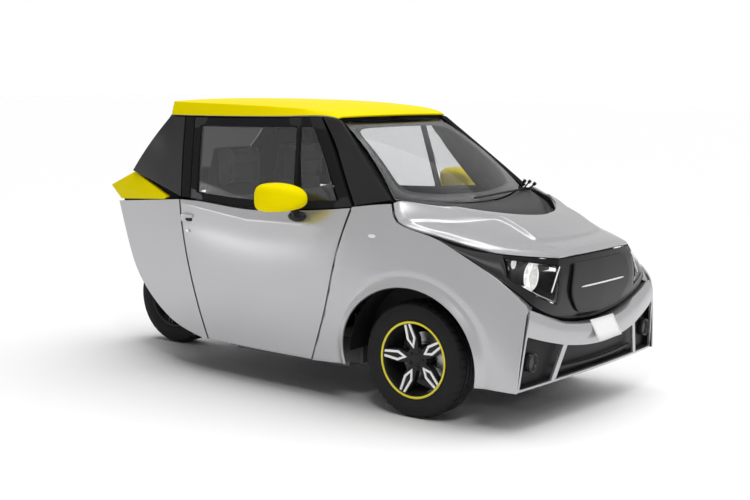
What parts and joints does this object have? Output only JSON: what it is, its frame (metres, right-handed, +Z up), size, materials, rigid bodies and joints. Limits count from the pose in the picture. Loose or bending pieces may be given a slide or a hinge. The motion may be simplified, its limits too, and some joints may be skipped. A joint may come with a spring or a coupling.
{
  "type": "three wheeled car",
  "caption": "Small closed car with steered wheels in front and a driven wheel behind, with hinged doors, bonnet and tailgate.",
  "frame": {"origin": "on the floor under the middle of the car's length and width", "axes": "+X forward, towards the nose; +Y to the car's left; +Z up"},
  "size_m": [3.0569, 1.77, 1.4513],
  "materials": {
    "paint_silver": "metallic silver paint under clear coat",
    "paint_yellow": "gloss yellow",
    "gloss_black": "gloss black",
    "trim_black": "matt moulded black",
    "frame_black": "black coated steel",
    "case_grey": "dull sheet",
    "motor_alloy": "cast",
    "steel": "cast and machined",
    "alloy_black": "black with machined faces",
    "tyre": "rubber",
    "screen_glass": "clear laminated glass",
    "dark_glass": "tinted glass",
    "lamp_clear": "clear lamp cover",
    "lamp_red": "red lamp lens",
    "seat_fabric": "dark woven seat cover"
  },
  "bodies": {
    "body": {"floor_pan": "frame_black", "front_bulkhead": "frame_black", "rear_bulkhead": "frame_black", "front_frame": "frame_black", "rear_frame": "frame_black", "battery_pack": "case_grey", "drive_motor": "motor_alloy", "dashboard": "trim_black", "steering_wheel": "trim_black", "seat_right": "seat_fabric", "seat_left": "seat_fabric", "front_suspension": "frame_black", "swing_arm": "frame_black", "arch_liners": "trim_black", "roof_cap": "paint_yellow", "windscreen": "screen_glass", "pillars_right": "gloss_black", "pillars_left": "gloss_black", "quarter_window_right": "dark_glass", "quarter_window_left": "dark_glass", "quarter_panel_right": "paint_silver", "quarter_panel_left": "paint_silver", "tail_wing_right": "paint_yellow", "tail_wing_left": "paint_yellow", "rear_panel": "paint_silver", "tail_lamps": "lamp_red", "fender_right": "paint_silver", "fender_left": "paint_silver", "cowl": "trim_black", "wiper": "trim_black", "nose_mask": "gloss_black", "grille_panel": "trim_black", "lamp_housings": "trim_black", "headlamp_right": "lamp_clear", "headlamp_left": "lamp_clear", "bumper": "paint_silver", "bumper_insets": "trim_black"},
    "door_right": {"door_panel_right": "paint_silver", "door_frame_right": "gloss_black", "door_glass_right": "dark_glass", "mirror_right": "paint_yellow"},
    "door_left": {"door_panel_left": "paint_silver", "door_frame_left": "gloss_black", "door_glass_left": "dark_glass", "mirror_left": "paint_yellow"},
    "bonnet": {"bonnet": "paint_silver"},
    "tailgate": {"tailgate": "gloss_black", "tailgate_glass": "dark_glass"},
    "knuckle_right": {"knuckle_right": "steel"},
    "knuckle_left": {"knuckle_left": "steel"},
    "wheel_front_right": {"tyre_front_right": "tyre", "rim_front_right": "alloy_black"},
    "wheel_front_left": {"tyre_front_left": "tyre", "rim_front_left": "alloy_black"},
    "wheel_rear": {"tyre_rear": "tyre", "rim_rear": "alloy_black"}
  },
  "joints": [
    {"name": "door_right_hinge", "type": "hinge", "parent": "body", "child": "door_right", "pos_m": [0.52, -0.712, 0.6], "axis": [0, 0, 1], "range_deg": [0, 65]},
    {"name": "door_left_hinge", "type": "hinge", "parent": "body", "child": "door_left", "pos_m": [0.52, 0.712, 0.6], "axis": [0, 0, -1], "range_deg": [0, 65]},
    {"name": "bonnet_hinge", "type": "hinge", "parent": "body", "child": "bonnet", "pos_m": [1.486, 0, 0.776], "axis": [0, 1, 0], "range_deg": [0, 50]},
    {"name": "tailgate_hinge", "type": "hinge", "parent": "body", "child": "tailgate", "pos_m": [-0.822, 0, 1.412], "axis": [0, 1, 0], "range_deg": [0, 70]},
    {"name": "steer_right", "type": "hinge", "parent": "body", "child": "knuckle_right", "pos_m": [0.875, -0.445, 0.276], "axis": [0, 0, 1], "range_deg": [-30, 30]},
    {"name": "steer_left", "type": "hinge", "parent": "body", "child": "knuckle_left", "pos_m": [0.875, 0.445, 0.276], "axis": [0, 0, 1], "range_deg": [-30, 30]},
    {"name": "wheel_front_right_spin", "type": "hinge", "parent": "knuckle_right", "child": "wheel_front_right", "pos_m": [0.875, -0.572, 0.276], "axis": [0, 1, 0], "continuous": true},
    {"name": "wheel_front_left_spin", "type": "hinge", "parent": "knuckle_left", "child": "wheel_front_left", "pos_m": [0.875, 0.572, 0.276], "axis": [0, 1, 0], "continuous": true},
    {"name": "wheel_rear_spin", "type": "hinge", "parent": "body", "child": "wheel_rear", "pos_m": [-1.249, 0, 0.276], "axis": [0, 1, 0], "continuous": true}
  ],
  "couplings": [
    {"joint": "steer_left", "follows": "steer_right", "ratio": 1}
  ]
}
